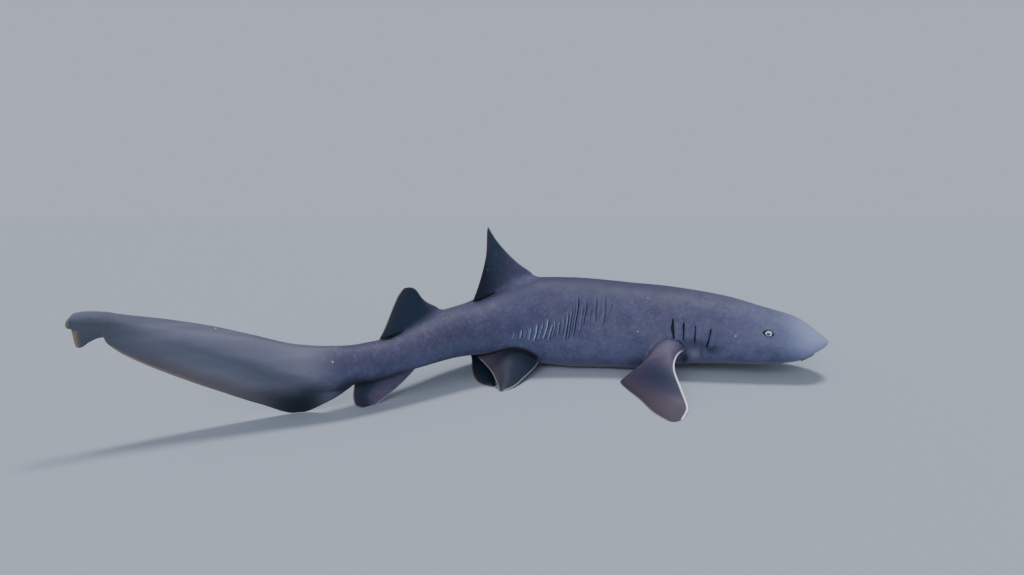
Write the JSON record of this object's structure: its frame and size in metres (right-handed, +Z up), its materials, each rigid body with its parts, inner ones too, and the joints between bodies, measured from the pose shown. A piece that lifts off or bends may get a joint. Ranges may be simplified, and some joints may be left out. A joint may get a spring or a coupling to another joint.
{
  "type": "nurse shark",
  "caption": "Life-size still model of a nurse shark resting on the bottom, propped on its pectoral fins, body bent and tail fin upright.",
  "frame": {"origin": "on the floor, under the middle of the model's box", "axes": "+X toward the head, -Y toward the animal's right side, +Z up"},
  "size_m": [1.963, 1.2174, 0.4699],
  "materials": {
    "skin": "matt slate-grey shark skin, finely rough with denticles, browner on the fins, with thin pale rims, and paler below",
    "eye": "wet, silvery iris round a small dark pupil",
    "barbel": "smooth grey skin"
  },
  "bodies": {
    "root": {"head": "skin", "trunk": "skin", "tail": "skin", "caudal_fin": "skin", "first_dorsal_fin": "skin", "second_dorsal_fin": "skin", "anal_fin": "skin", "pectoral_fin_right": "skin", "pectoral_fin_left": "skin", "pelvic_fin_right": "skin", "pelvic_fin_left": "skin", "eye_right": "eye", "eye_left": "eye", "barbel_right": "barbel", "barbel_left": "barbel"}
  },
  "joints": []
}
